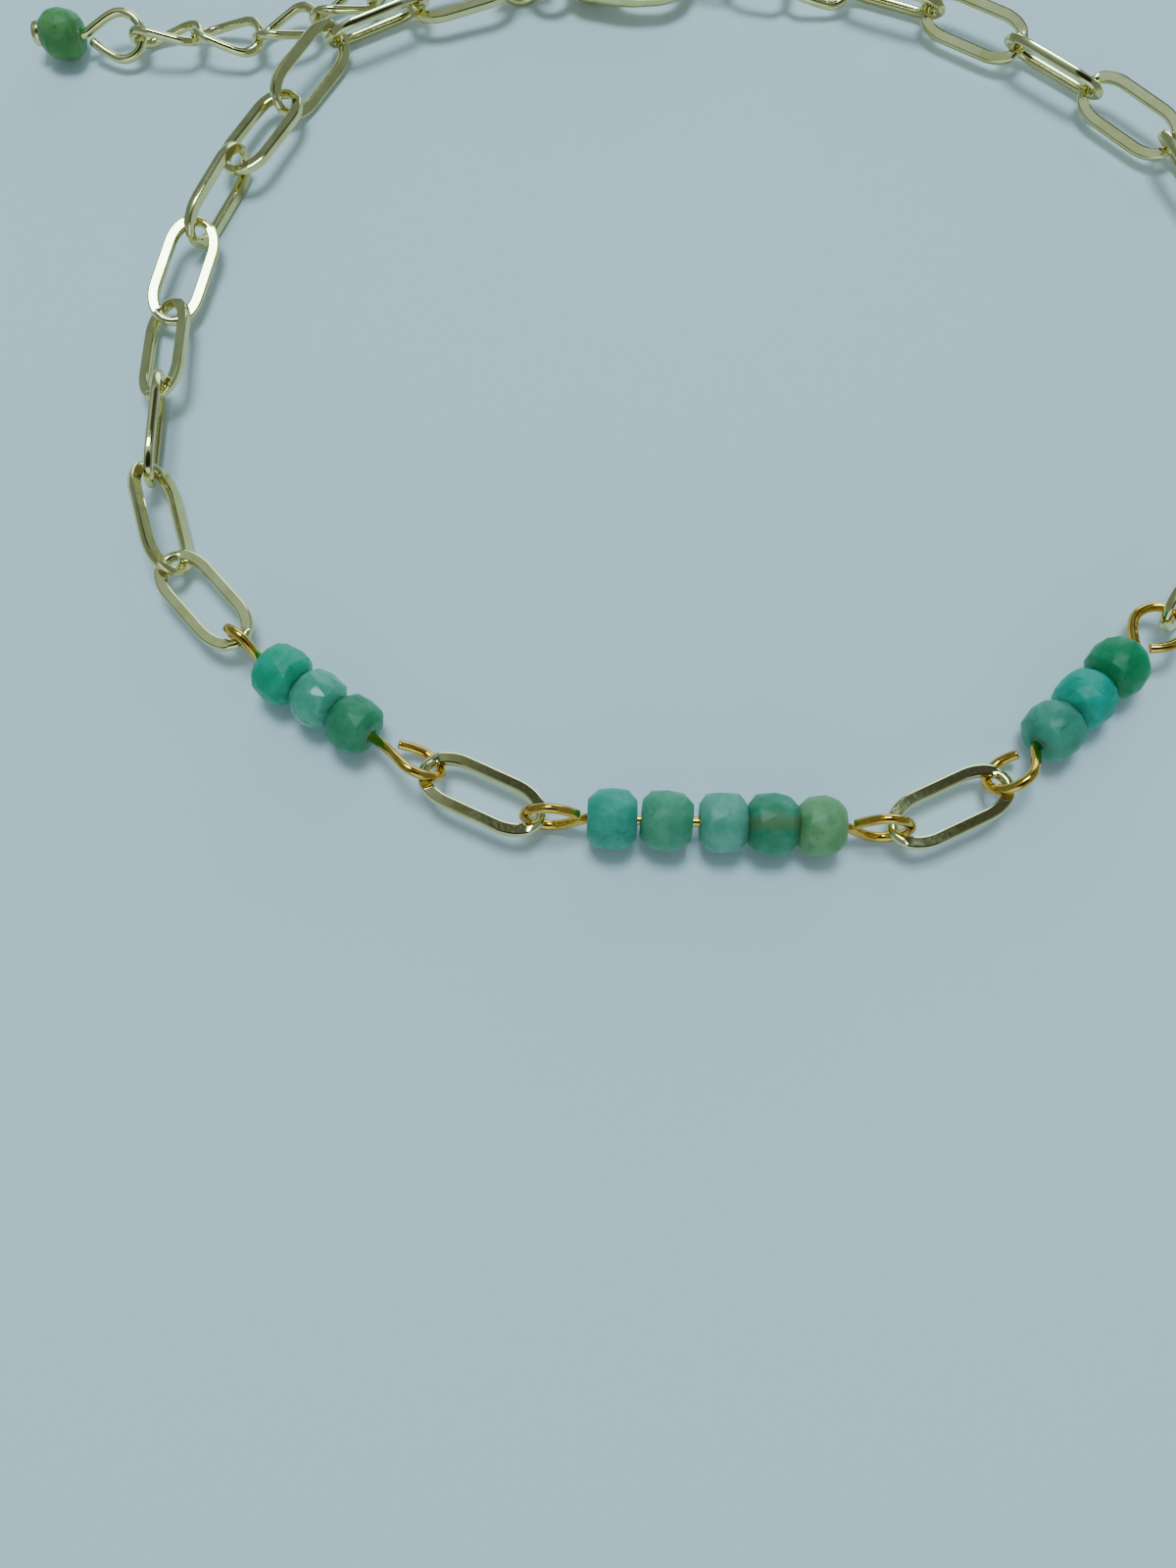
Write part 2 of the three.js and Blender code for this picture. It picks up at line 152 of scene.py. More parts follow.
def stoneMaterial(name):
    stone = beadStones[name]
    material, tree = newMaterial("polishedStone_" + name)
    place = addNode(tree, "TexCoord").outputs["Object"]
    patches = addNode(tree, "TexNoise", {
        "Vector": place, "Scale": patternScale(stoneFinish["patch"]), "Detail": 4.0,
        "Distortion": stoneFinish["patchTwist"]})
    body = addNode(tree, "ValToRGB", {"Fac": patches.outputs["Fac"]})
    for stop, edge, shade in zip(body.color_ramp.elements, stoneFinish["patchEdge"], ("body", "cloud")):
        stop.position = edge
        stop.color = linearColour(stone[shade])
    veins = addNode(tree, "TexNoise", {
        "Vector": place, "Scale": patternScale(stoneFinish["vein"]), "Detail": 6.0,
        "Distortion": stoneFinish["veinTwist"]})
    veinMask = addNode(tree, "MapRange", {
        "Value": veins.outputs["Fac"],
        "From Min": stoneFinish["veinEdge"][0], "From Max": stoneFinish["veinEdge"][1],
        "To Min": 0.0, "To Max": stoneFinish["veinDepth"]})
    colour = addNode(tree, "MixRGB", {
        "Fac": veinMask.outputs["Result"], "Color1": body.outputs["Color"],
        "Color2": linearColour(stone["vein"])})
    # Painted shade: a darker band mixed into the stone's colour where the pin's wire shows through the stone
    if "paintedWireShade" in stone:
        low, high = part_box(name)
        paintedWireShadeAt = (low[1] + high[1]) / 2 + stone["paintedWireShadeAt"] * mm
        wander = stoneFinish["paintedWireShadeWander"] * mm  # how far the painted shade band follows the clouds
        across = addNode(tree, "SeparateXYZ", {"Vector": place}).outputs["Y"]
        across = addNode(tree, "Math", {0: patches.outputs["Fac"], 1: wander, 2: across},
                         operation="MULTIPLY_ADD").outputs["Value"]
        away = addNode(tree, "Math", {0: across, 1: paintedWireShadeAt + wander / 2},
                       operation="SUBTRACT").outputs["Value"]
        away = addNode(tree, "Math", {0: away}, operation="ABSOLUTE").outputs["Value"]
        paintedWireShadeMask = addNode(tree, "MapRange", {
            "Value": away, "To Min": stoneFinish["paintedWireShadeDepth"], "To Max": 0.0,
            "From Min": stoneFinish["paintedWireShadeEdge"][0] * mm, "From Max": stoneFinish["paintedWireShadeEdge"][1] * mm},
            interpolation_type="SMOOTHSTEP")
        colour = addNode(tree, "MixRGB", {
            "Fac": paintedWireShadeMask.outputs["Result"], "Color1": colour.outputs["Color"],
            "Color2": linearColour(stone["paintedWireShade"])})
    polish = addNode(tree, "TexNoise", {
        "Vector": place, "Scale": patternScale(stoneFinish["polish"]), "Detail": 2.0})
    low, high = stoneFinish["bright" if stone.get("bright") else "rough"]
    rough = addNode(tree, "MapRange", {"Value": polish.outputs["Fac"], "To Min": low, "To Max": high})
    bump = addNode(tree, "Bump", {
        "Height": polish.outputs["Fac"], "Strength": 1.0, "Distance": stoneFinish["polishDepth"] * mm})
    shader = addNode(tree, "BsdfPrincipled", {
        "Base Color": colour.outputs["Color"], "Roughness": rough.outputs["Result"],
        "Normal": bump.outputs["Normal"], "IOR": stoneFinish["ior"],
        "Specular IOR Level": stoneFinish["gloss"], "Transmission Weight": stone["clear"],
        "Subsurface Weight": stoneFinish["milk"], "Subsurface Radius": stoneFinish["scatterTone"],
        "Subsurface Scale": stoneFinish["scatter"] * mm})
    addNode(tree, "OutputMaterial", {"Surface": shader.outputs["BSDF"]})
    return material


paleGold = goldMaterial("paleGoldPlate")
warmGold = goldMaterial("warmGoldWire")
print("finishes ready")


def placeOf(node):  # turns +X, +Y and +Z to a node's long, wide and thin directions, about its middle
    corners = numpy.array([v.co for v in nodes[node].data.vertices])
    middle = corners.mean(axis=0)
    directions = numpy.linalg.eigh(numpy.cov((corners - middle).T))[1]
    long, thin = Vector(directions[:, 2]), Vector(directions[:, 0])
    wide = thin.cross(long)
    turn = Matrix((long, wide, thin)).transposed().to_4x4()
    return Matrix.Translation(Vector(middle)) @ turn


def borePlace(node):  # +Z runs along the bore, which is square to the bead's two flat tables
    mesh = nodes[node].data
    areas = {}
    for face in mesh.polygons:  # a table is many triangles, and both tables count for one direction
        ahead = face.normal.x + 0.01 * face.normal.y > 0
        facing = tuple(round(c, 2) for c in (face.normal if ahead else -face.normal))
        areas[facing] = areas.get(facing, 0) + face.area
    bore = Vector(max(areas, key=areas.get)).normalized()
    corners = numpy.array([v.co for v in mesh.vertices])
    along = corners @ numpy.array(bore)
    middle = Vector(corners.mean(axis=0))
    middle += bore * ((along.max() + along.min()) / 2 - middle.dot(bore))
    turn = bore.to_track_quat("Z", "Y").to_matrix().to_4x4()
    place = Matrix.Translation(middle) @ turn
    away = [(place.inverted() @ Vector(c)) for c in corners]
    return place, along.max() - along.min(), 2 * max(hypot(p.x, p.y) for p in away)


def addPart(name, shape, place, material, node, sharp=35):
    bmesh.ops.transform(shape, matrix=place, verts=shape.verts)
    mesh = bpy.data.meshes.new(name)
    shape.to_mesh(mesh)
    shape.free()
    for face in mesh.polygons:
        face.use_smooth = True
    mesh.set_sharp_from_angle(angle=radians(sharp))
    mesh.materials.append(material)
    part = bpy.data.objects.new(name, mesh)
    scene.collection.objects.link(part)
    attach(part, "root")
    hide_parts(node)


def addShape(shape, other):  # takes another shape into this one
    mesh = bpy.data.meshes.new("joined")
    other.to_mesh(mesh)
    other.free()
    shape.from_mesh(mesh)
    bpy.data.meshes.remove(mesh)


def turnAbout(shape, verts, angle, axis):
    bmesh.ops.rotate(shape, verts=verts, cent=(0, 0, 0), matrix=Matrix.Rotation(angle, 3, axis))


def smoothStep(low, high, value):
    t = min(1, max(0, (value - low) / (high - low)))
    return t * t * (3 - 2 * t)


# A long link lying flat with its length along X: wire turned into a ring, then drawn apart into two
# ends and two straight rails
def ovalLink(spec):
    shape = bmesh.new()
    ringRadius = (spec["width"] - spec["wire"]) / 2 * mm
    reach = (spec["length"] - spec["width"]) / 2 * mm
    bmesh.ops.create_circle(shape, segments=spec["sides"], radius=spec["wire"] / 2 * mm)
    turnAbout(shape, shape.verts, pi / 2, "Y")
    bmesh.ops.translate(shape, verts=shape.verts, vec=(0, -ringRadius, 0))
    turnAbout(shape, shape.verts, pi / spec["steps"], "Z")  # half a step, so that the rails lie between rows
    bmesh.ops.spin(shape, geom=shape.verts[:] + shape.edges[:], cent=(0, 0, 0), axis=(0, 0, 1),
                   angle=2 * pi, steps=spec["steps"], use_merge=True)
    for side in (1, -1):
        end = [v for v in shape.verts if v.co.x * side > 0]
        bmesh.ops.translate(shape, verts=end, vec=(side * reach, 0, 0))
    rails = [e for e in shape.edges if abs(e.verts[0].co.x - e.verts[1].co.x) > reach]
    bmesh.ops.subdivide_edges(shape, edges=rails, cuts=spec["cuts"])
    bmesh.ops.remove_doubles(shape, verts=shape.verts, dist=1e-7)
    bmesh.ops.recalc_face_normals(shape, faces=shape.faces)
    return shape


# A quarter of the pressed wire's section, from its side up to the middle of its flat face, as shares of
# its half width and half thickness. The wire has four times as many sides as the quarter has steps.
pressedSection = [(1.0, 0.0), (0.98, 0.38), (0.94, 0.68), (0.87, 0.87), (0.68, 1.0), (0.34, 1.0),
                  (0.0, 1.0)]
sectionStep = pi / 2 / (len(pressedSection) - 1)


# Draws the ends out into half ovals and presses the link flat, all but a little round wire at each tip.
# pressFrom is where the flat starts, in degrees round the end, and it fades in over pressFade.
def pressFlat(shape, spec):
    ringRadius = (spec["width"] - spec["wire"]) / 2 * mm
    reach = (spec["length"] - spec["width"]) / 2 * mm
    halfWidth = (spec["width"] - spec["face"]) / 2 * mm
    tip = (spec["length"] - spec["tipWire"]) / 2 * mm
    rail = tip - spec["endReach"] * mm
    for v in shape.verts:
        past = max(0, abs(v.co.x) - reach)
        sideX, sideY = (1 if v.co.x > 0 else -1), (1 if v.co.y > 0 else -1)
        turn = atan2(abs(v.co.y), past) if past > 0 else pi / 2
        around = atan2(v.co.z, hypot(past, v.co.y) - ringRadius)
        if past > 0:
            centre = Vector((rail + spec["endReach"] * mm * cos(turn), halfWidth * sin(turn), 0))
            out = Vector((cos(turn) * halfWidth, sin(turn) * spec["endReach"] * mm, 0)).normalized()
        else:
            centre = Vector((abs(v.co.x) * rail / reach, halfWidth, 0))
            out = Vector((0, 1, 0))
        flat = smoothStep(spec["pressFrom"] - spec["pressFade"], spec["pressFrom"], degrees(turn))
        beside, above = cos(around), sin(around)
        wide, high = pressedSection[round(atan2(abs(above), abs(beside)) / sectionStep)]
        across = spec["face"] / 2 * wide * (1 if beside > 0 else -1)
        up = spec["thick"] / 2 * high * (1 if above > 0 else -1)
        across = across * flat + spec["tipWire"] / 2 * beside * (1 - flat)
        up = up * flat + spec["tipWire"] / 2 * above * (1 - flat)
        at = centre + out * across * mm
        v.co = Vector((at.x * sideX, at.y * sideY, up * mm))


paperclip = {"length": 6.6, "width": 2.9, "wire": 0.6, "face": 0.62, "thick": 0.45, "tipWire": 0.52,
             "endReach": 1.75, "pressFrom": 36, "pressFade": 10, "steps": 72, "sides": 24, "cuts": 2,
             "sharp": 20}

linkNodes = ["spacer_link_left", "spacer_link_right"]
linkNodes += [f"{side}_link_{i:02d}" for side in ("left", "right") for i in range(1, 11)]
for node in linkNodes:
    shape = ovalLink(paperclip)
    pressFlat(shape, paperclip)
    addPart(node + "_pressed", shape, placeOf(node), paleGold, node, paperclip["sharp"])
print("paperclip links pressed")


# The pins: round wire through the beads, bent into an open eye at each end and cut off square. A pin is
# placed by its row of beads, from its start to its end, and by how far they have slid along it. Each eye
# has its length, width, the turn of its plane about the pin, its side and the gap left open.
pinWire = {"thick": 0.5, "cutEdge": 0.035, "eyePoints": 10, "lead": 0.5, "settle": 1.5}
pins = {
    "left_pin": {"beads": ("left_bead_3", "left_bead_1"), "slide": 0.08, "heading": 145,
                 "straight": 6.9, "aside": 0.3,
                 "eyes": [(3.85, 2.9, 55, 1, 0.95), (2.7, 2.4, 88, 1, 0.4)]},
    "centre_pin": {"beads": ("centre_bead_1", "centre_bead_5"), "slide": -0.05, "heading": -2,
                   "straight": 12.1, "aside": 0,
                   "eyes": [(3.35, 2.9, 84, -1, 0.55), (3.35, 2.9, 82, -1, 0.45)]},
    "right_pin": {"beads": ("right_bead_1", "right_bead_3"), "slide": -0.05, "heading": 43,
                  "straight": 7.3, "aside": 0,
                  "eyes": [(3.3, 2.9, 127, 1, 0.7), (3.25, 2.9, -15, 1, 0.5)]},
}


def eyeRoute(length, width, turn, side, gap):  # out along +X from the neck and back to the cut end
    radius = (width - pinWire["thick"]) / 2
    centre = length - pinWire["thick"] / 2 - radius
    lean = asin(radius / centre)
    last = pinWire["eyePoints"] - 1
    angles = [(pi / 2 + lean) * (1 - 2 * i / last) for i in range(last + 1)]
    route = [Vector((centre + radius * cos(a), radius * sin(a), 0)) for a in angles]
    route.append(route[-1] * (gap / route[-1].x))
    route.insert(0, route[0] / 2)
    bend = Matrix.Rotation(radians(turn), 3, "X")
    return [bend @ Vector((p.x, side * p.y, 0)) for p in route]


def pinRoute(pin):
    half = pin["straight"] / 2
    lead = half - pinWire["lead"]

    def atEnd(point, direction):
        aside = smoothStep(0, pinWire["settle"], point.x) * pin["aside"]
        return Vector((direction * (point.x + half), point.y - aside, point.z))

    start = [atEnd(p, -1) for p in eyeRoute(*pin["eyes"][0])][::-1]
    end = [atEnd(p, 1) for p in eyeRoute(*pin["eyes"][1])]
    return start + [Vector((x, 0, 0)) for x in (-half, -lead, 0, lead, half)] + end


def finishedMesh(holder):  # the mesh that an object comes to, with the object itself thrown away
    scene.collection.objects.link(holder)
    bpy.context.view_layer.update()
    mesh = bpy.data.meshes.new_from_object(holder.evaluated_get(bpy.context.evaluated_depsgraph_get()))
    bpy.data.objects.remove(holder)
    return mesh


barSteps = {"along": 6, "round": 4}  # how finely a bar is stepped along its route and round its section


def addBar(shape, route, radii):  # a round bar along a smooth curve, closed flat at both ends
    curve = bpy.data.curves.new("bar", "CURVE")
    curve.dimensions = "3D"
    curve.resolution_u = barSteps["along"]
    curve.bevel_depth = 1
    curve.bevel_resolution = barSteps["round"]
    curve.use_fill_caps = True
    spline = curve.splines.new("BEZIER")
    spline.bezier_points.add(len(route) - 1)
    for knot, point, radius in zip(spline.bezier_points, route, radii):
        knot.co, knot.radius = point, radius
        knot.handle_left_type = knot.handle_right_type = "AUTO"
    mesh = finishedMesh(bpy.data.objects.new("bar", curve))
    shape.from_mesh(mesh)
    bpy.data.meshes.remove(mesh)


def rimEdges(shape, fold=60):  # where a wire or a disc is cut off square
    return [e for e in shape.edges if len(e.link_faces) == 2 and e.calc_face_angle() > radians(fold)]


def bentWire(route):
    shape = bmesh.new()
    addBar(shape, [p * mm for p in route], [pinWire["thick"] / 2 * mm] * len(route))
    bmesh.ops.remove_doubles(shape, verts=shape.verts, dist=1e-6)
    bmesh.ops.bevel(shape, geom=rimEdges(shape), offset=pinWire["cutEdge"] * mm, segments=2, profile=0.5,
                    affect="EDGES", material=-1)
    bmesh.ops.recalc_face_normals(shape, faces=shape.faces)
    return shape


def forward(heading):
    return Vector((cos(radians(heading)), sin(radians(heading)), 0))


def placeAlong(middle, heading):
    return Matrix.Translation(middle) @ Matrix.Rotation(radians(heading), 4, "Z")


def pinMiddle(pin):  # halfway between the outer faces of the row of beads, less their slide
    (first, firstLength), (last, lastLength) = (borePlace(bead)[:2] for bead in pin["beads"])
    shift = (lastLength - firstLength) / 4 - pin["slide"] * mm
    return (first.translation + last.translation) / 2 + forward(pin["heading"]) * shift


for node, pin in pins.items():
    place = placeAlong(pinMiddle(pin), pin["heading"])
    addPart(node + "_wire", bentWire(pinRoute(pin)), place, warmGold, node)


# The drop's pin: an eye, a stem through the bead, and a round head like a small button
headPin = {"heading": 178, "eye": (3.7, 2.9, 150, 1, 0.5), "neck": 0.08, "stem": 2.3,
           "head": 1.3, "headThick": 0.5, "headAt": 2.55, "headEdge": 0.14, "headSides": 28}


def pinHead():
    shape = bmesh.new()
    bmesh.ops.create_cone(shape, cap_ends=True, segments=headPin["headSides"],
                          radius1=headPin["head"] / 2 * mm, radius2=headPin["head"] / 2 * mm,
                          depth=headPin["headThick"] * mm)
    bmesh.ops.bevel(shape, geom=rimEdges(shape), offset=headPin["headEdge"] * mm, segments=4, profile=0.5,
                    affect="EDGES", material=-1)
    turnAbout(shape, shape.verts, pi / 2, "Y")
    bmesh.ops.translate(shape, verts=shape.verts, vec=(headPin["headAt"] * mm, 0, 0))
    return shape


bead, length = borePlace("drop_bead")[:2]
direction = forward(headPin["heading"])
place = placeAlong(bead.translation - direction * (length / 2 + headPin["neck"] * mm), headPin["heading"])
route = [Vector((-p.x, p.y, p.z)) for p in eyeRoute(*headPin["eye"])][::-1]
route += [Vector((x, 0, 0)) for x in (0, pinWire["lead"], headPin["stem"])]
addPart("drop_pin_wire", bentWire(route), place, paleGold, "drop_pin")
addPart("drop_pin_head", pinHead(), place, paleGold, "drop_pin")
print("pins bent")


# Faceted rondelles: rows of corners round the bore, turned half a step against each other
rondelle = {"facets": 12, "bore": 0.76, "edge": 0.025, "skew": 0.05, "deep": 0.025, "sharp": 12,
            "rows": [(1.0, 0.62), (0.62, 0.92), (0.0, 1.0), (-0.62, 0.92), (-1.0, 0.62)]}


def levelFaces(shape):  # those that lie square to the bore
    return [f for f in shape.faces if abs(f.normal.z) > 0.99]


def facetedBead(length, diameter, seed):
    shape = bmesh.new()
    hand = Random(seed)
    count = rondelle["facets"]
    for index, (along, reach) in enumerate(rondelle["rows"]):
        row = bmesh.ops.create_circle(shape, segments=count, radius=reach * diameter / 2)["verts"]
        turnAbout(shape, row, pi / count * (index % 2), "Z")
        bmesh.ops.translate(shape, verts=row, vec=(0, 0, along * length / 2))
        if abs(along) < 1:  # each facet is cut by hand, a little off
            for v in row:
                lift = hand.uniform(-rondelle["skew"], rondelle["skew"]) * length
                shrink = 1 - hand.uniform(0, rondelle["deep"])
                v.co = Vector((v.co.x * shrink, v.co.y * shrink, v.co.z + lift))
    bmesh.ops.convex_hull(shape, input=shape.verts[:])
    bmesh.ops.dissolve_limit(shape, angle_limit=radians(1), verts=shape.verts, edges=shape.edges)
    shape.normal_update()
    flat = levelFaces(shape)[0].calc_perimeter() / (2 * pi) * cos(pi / count)
    bmesh.ops.bevel(shape, geom=shape.edges[:], offset=rondelle["edge"] * mm, segments=1, profile=0.5,
                    affect="EDGES", material=-1)
    shape.normal_update()
    tables = sorted(levelFaces(shape), key=lambda f: -f.calc_area())[:2]
    bmesh.ops.inset_individual(shape, faces=tables, thickness=flat - rondelle["bore"] / 2 * mm)
    rims = [e for f in tables for e in f.edges]
    bmesh.ops.delete(shape, geom=tables, context="FACES_ONLY")
    bmesh.ops.bridge_loops(shape, edges=rims)
    bmesh.ops.recalc_face_normals(shape, faces=shape.faces)
    return shape


for node, stone in beadStones.items():
    place, length, diameter = borePlace(node)
    place = place @ Matrix.Rotation(radians(stone["spin"]), 4, "Z")
    shape = facetedBead(length, diameter, node)
    addPart(node + "_cut", shape, place, stoneMaterial(node), node, rondelle["sharp"])
print("beads cut")


# The extender: small twisted links, each through the next, from the right side's last link to the claw
# and on as a loose tail. Each has its heading and roll in degrees, and the height of its far end.
curb = {"length": 4.3, "width": 2.8, "wire": 0.5, "reach": 3.54, "twist": 70,
        "steps": 32, "sides": 14, "cuts": 8}
extender = {"start": (12.61, 23.08, 1.4),
            "links": [(170, -20, 1.3), (172, 24, 1.24), (181, 90, 1.88), (114, 0, 2.6), (174, 30, 1.9),
                      (187, 14, 1.3), (195, 16, 1.2), (202, 40, 1.28), (226, 50, 1.28), (205, 30, 1.2),
                      (205, 20, 1.2), (174, 16, 1.2), (187, 40, 1.25)]}


def twistedLink():
    shape = ovalLink(curb)
    for v in shape.verts:
        turn = Matrix.Rotation(radians(curb["twist"] * v.co.x / (curb["length"] * mm)), 3, "X")
        v.co = turn @ v.co
    return shape


joint = Vector(extender["start"]) * mm
reach = curb["reach"] * mm
tail = bmesh.new()
for heading, roll, height in extender["links"]:
    climb = height * mm - joint.z
    end = joint + forward(heading) * sqrt(reach ** 2 - climb ** 2)
    end.z = height * mm
    pitch = Matrix.Rotation(-asin(climb / reach), 4, "Y")
    link = twistedLink()
    place = placeAlong((joint + end) / 2, heading) @ pitch @ Matrix.Rotation(radians(roll), 4, "X")
    bmesh.ops.transform(link, matrix=place, verts=link.verts)
    addShape(tail, link)
    joint = end
addPart("extender_chain_links", tail, Matrix(), paleGold, "extender_chain")
print("extender linked")


# The jump ring, with the cut that it was opened at
ring = {"width": 3.6, "wire": 0.56, "gap": 7, "steps": 48, "sides": 20}


def cutRing():
    shape = bmesh.new()
    bmesh.ops.create_circle(shape, segments=ring["sides"], radius=ring["wire"] / 2 * mm)
    turnAbout(shape, shape.verts, pi / 2, "Y")
    bmesh.ops.translate(shape, verts=shape.verts, vec=(0, -(ring["width"] - ring["wire"]) / 2 * mm, 0))
    bmesh.ops.spin(shape, geom=shape.verts[:] + shape.edges[:], cent=(0, 0, 0), axis=(0, 0, 1),
                   angle=radians(360 - ring["gap"]), steps=ring["steps"])
    bmesh.ops.holes_fill(shape, edges=[e for e in shape.edges if e.is_boundary], sides=ring["sides"])
    bmesh.ops.recalc_face_normals(shape, faces=shape.faces)
    return shape


addPart("jump_ring_wire", cutRing(), placeOf("jump_ring"), paleGold, "jump_ring")


# The clasp is one casting: an eye for the ring, a swelling over the spring and a hook, with a lever laid
# across to the hook's nose. Sizes are in millimetres from its middle, with the eye towards -X. The hook
# and the lever are points of a bar, as x, y and radius.
lobster = {"eyeAt": -3.55, "eyeSize": 1.175, "eyeWire": (0.31, 0.42), "eyeSides": 20, "eyeSteps": 48,
           "swellAt": -0.95, "swell": (1.75, 1.72, 1.26),
           "hook": [(-1.6, -0.5, 1.0), (-0.4, -1.1, 0.85), (0.7, -1.6, 0.62), (1.9, -1.78, 0.53),
                    (3.3, -1.64, 0.49), (4.3, -0.9, 0.45), (4.6, 0.0, 0.42), (4.36, 0.85, 0.42),
                    (3.75, 1.5, 0.42)],
           "hookFlat": 0.92,
           "lever": [(-0.6, 1.0, 0.45), (0.3, 1.45, 0.4), (1.2, 1.72, 0.36), (2.4, 1.82, 0.34),
                     (3.42, 1.66, 0.33)],
           "thumbAt": (0.2, 2.0), "thumb": (0.55, 0.42, 0.42),
           "ballSides": 32, "ballRows": 20, "grain": 0.065, "smoothing": 2, "sharp": 60}


def addFlatBar(shape, points):
    addBar(shape, [(x, y, 0) for x, y, radius in points], [radius for x, y, radius in points])


def addBall(shape, middle, sizes):
    ball = bmesh.ops.create_uvsphere(shape, u_segments=lobster["ballSides"],
                                     v_segments=lobster["ballRows"], radius=1)["verts"]
    bmesh.ops.scale(shape, vec=sizes, verts=ball)
    bmesh.ops.translate(shape, vec=middle, verts=ball)


def castTogether(shape):  # melts overlapping closed forms into one skin, and softens where they meet
    mesh = bpy.data.meshes.new("casting")
    shape.to_mesh(mesh)
    shape.free()
    holder = bpy.data.objects.new("casting", mesh)
    remesh = holder.modifiers.new("Remesh", "REMESH")
    remesh.mode = "VOXEL"
    remesh.voxel_size = lobster["grain"]
    skin = finishedMesh(holder)
    shape = bmesh.new()
    shape.from_mesh(skin)
    bpy.data.meshes.remove(skin)
    bpy.data.meshes.remove(mesh)
    for i in range(lobster["smoothing"]):
        bmesh.ops.smooth_vert(shape, verts=shape.verts, factor=0.5, use_axis_x=True, use_axis_y=True,
                              use_axis_z=True)
    return shape


def claspBody():
    shape = bmesh.new()
    addFlatBar(shape, lobster["hook"])
    bmesh.ops.scale(shape, vec=(1, 1, lobster["hookFlat"]), verts=shape.verts)
    addBall(shape, (lobster["swellAt"], 0, 0), lobster["swell"])
    section = bmesh.ops.create_circle(shape, segments=lobster["eyeSides"], radius=1)["verts"]
    turnAbout(shape, section, pi / 2, "X")
    bmesh.ops.scale(shape, vec=(lobster["eyeWire"][0], 1, lobster["eyeWire"][1]), verts=section)
    bmesh.ops.translate(shape, vec=(lobster["eyeAt"] - lobster["eyeSize"], 0, 0), verts=section)
    rim = [e for e in shape.edges if not e.link_faces]
    bmesh.ops.spin(shape, geom=section + rim, cent=(lobster["eyeAt"], 0, 0), axis=(0, 0, 1),
                   angle=2 * pi, steps=lobster["eyeSteps"], use_merge=True)
    bmesh.ops.remove_doubles(shape, verts=shape.verts, dist=1e-4)
    bmesh.ops.recalc_face_normals(shape, faces=shape.faces)
    return castTogether(shape)


def claspLever():
    shape = bmesh.new()
    addFlatBar(shape, lobster["lever"])
    addBall(shape, (*lobster["thumbAt"], 0), lobster["thumb"])
    bmesh.ops.recalc_face_normals(shape, faces=shape.faces)
    return castTogether(shape)


def claspPlace():  # about the middle of the clasp, with +X towards its wide end
    place = placeOf("clasp")
    corners = numpy.array([place.inverted() @ v.co for v in nodes["clasp"].data.vertices])
    middle = (corners.min(axis=0) + corners.max(axis=0)) / 2
    half = corners[:, 0] - middle[0]
    wide = [abs(corners[half * side > 0][:, 1]).max() for side in (1, -1)]
    turn = Matrix.Rotation(0 if wide[0] > wide[1] else pi, 4, "Z")
    return place @ Matrix.Translation(Vector(middle)) @ turn @ Matrix.Scale(mm, 4)


shape = claspBody()
addShape(shape, claspLever())
bmesh.ops.recalc_face_normals(shape, faces=shape.faces)
addPart("clasp_cast", shape, claspPlace(), paleGold, "clasp", lobster["sharp"])
print("clasp and ring made")


# The floor is matt painted board: an even pale surface with a faint grain and hardly any shine
board = {"size": 0.9, "colour": "#E1E8EA", "rough": 0.85, "gloss": 0.2, "grain": 1.5, "grainDepth": 0.01}


def floorMaterial():
    material, tree = newMaterial("paleFloor")
    place = addNode(tree, "TexCoord").outputs["Object"]
    grain = addNode(tree, "TexNoise", {
        "Vector": place, "Scale": patternScale(board["grain"]), "Detail": 2.0})
    bump = addNode(tree, "Bump", {"Height": grain.outputs["Fac"], "Distance": board["grainDepth"] * mm})
    shader = addNode(tree, "BsdfPrincipled", {
        "Base Color": linearColour(board["colour"]), "Roughness": board["rough"],
        "Specular IOR Level": board["gloss"], "Normal": bump.outputs["Normal"]})
    addNode(tree, "OutputMaterial", {"Surface": shader.outputs["BSDF"]})
    return material


shape = bmesh.new()
bmesh.ops.create_grid(shape, x_segments=1, y_segments=1, size=board["size"] / 2)
mesh = bpy.data.meshes.new("floor")
shape.to_mesh(mesh)
shape.free()
mesh.materials.append(floorMaterial())
floor = bpy.data.objects.new("floor", mesh)
scene.collection.objects.link(floor)


# A cool window nearly overhead, in a hazy room. The room's tones run from eye level to overhead, and its
# patches are soft and round: each has its direction, the cosines between which it fades in, and the light
# outside and inside it. The flag and the hood are dark cards that the links' flat faces mirror.
window = {"at": (-0.02, 0.28, 0.96), "away": 0.6, "size": (0.22, 0.18), "power": 2.5, "tint": "#C4EEFF"}
roomTones = [(0.0, "#ADCEDA"), (0.35, "#9AB5C0"), (0.8, "#9BB6C2"), (1.0, "#BBDCEA")]
roomPatches = {
    "haze": {"at": window["at"], "edge": (0.76, 0.985), "light": (0.57, 1.22)},
    "lowWindow": {"at": (0.25, 0.95, 0.15), "edge": (0.88, 0.96), "light": (0.0, 5.0)},
    "front": {"at": (0.0, -0.93, 0.3), "edge": (0.86, 0.97), "light": (0.0, 2.2)},
    "flag": {"at": (0.26, 0.45, 0.855), "edge": (0.948, 0.977), "light": (1.0, 0.14), "tone": "#A4B2BA"},
    "hood": {"at": (0.1, -0.42, 0.9), "edge": (0.88, 0.95), "light": (1.0, 0.08)},
}


def roomPatch(tree, direction, name, light=None):
    patch = roomPatches[name]
    outside, inside = light or patch["light"]
    towards = addNode(tree, "VectorMath", {0: direction, 1: Vector(patch["at"]).normalized()},
                      operation="DOT_PRODUCT")
    return addNode(tree, "MapRange", {
        "Value": towards.outputs["Value"], "From Min": patch["edge"][0], "From Max": patch["edge"][1],
        "To Min": outside, "To Max": inside}, interpolation_type="SMOOTHSTEP").outputs["Result"]


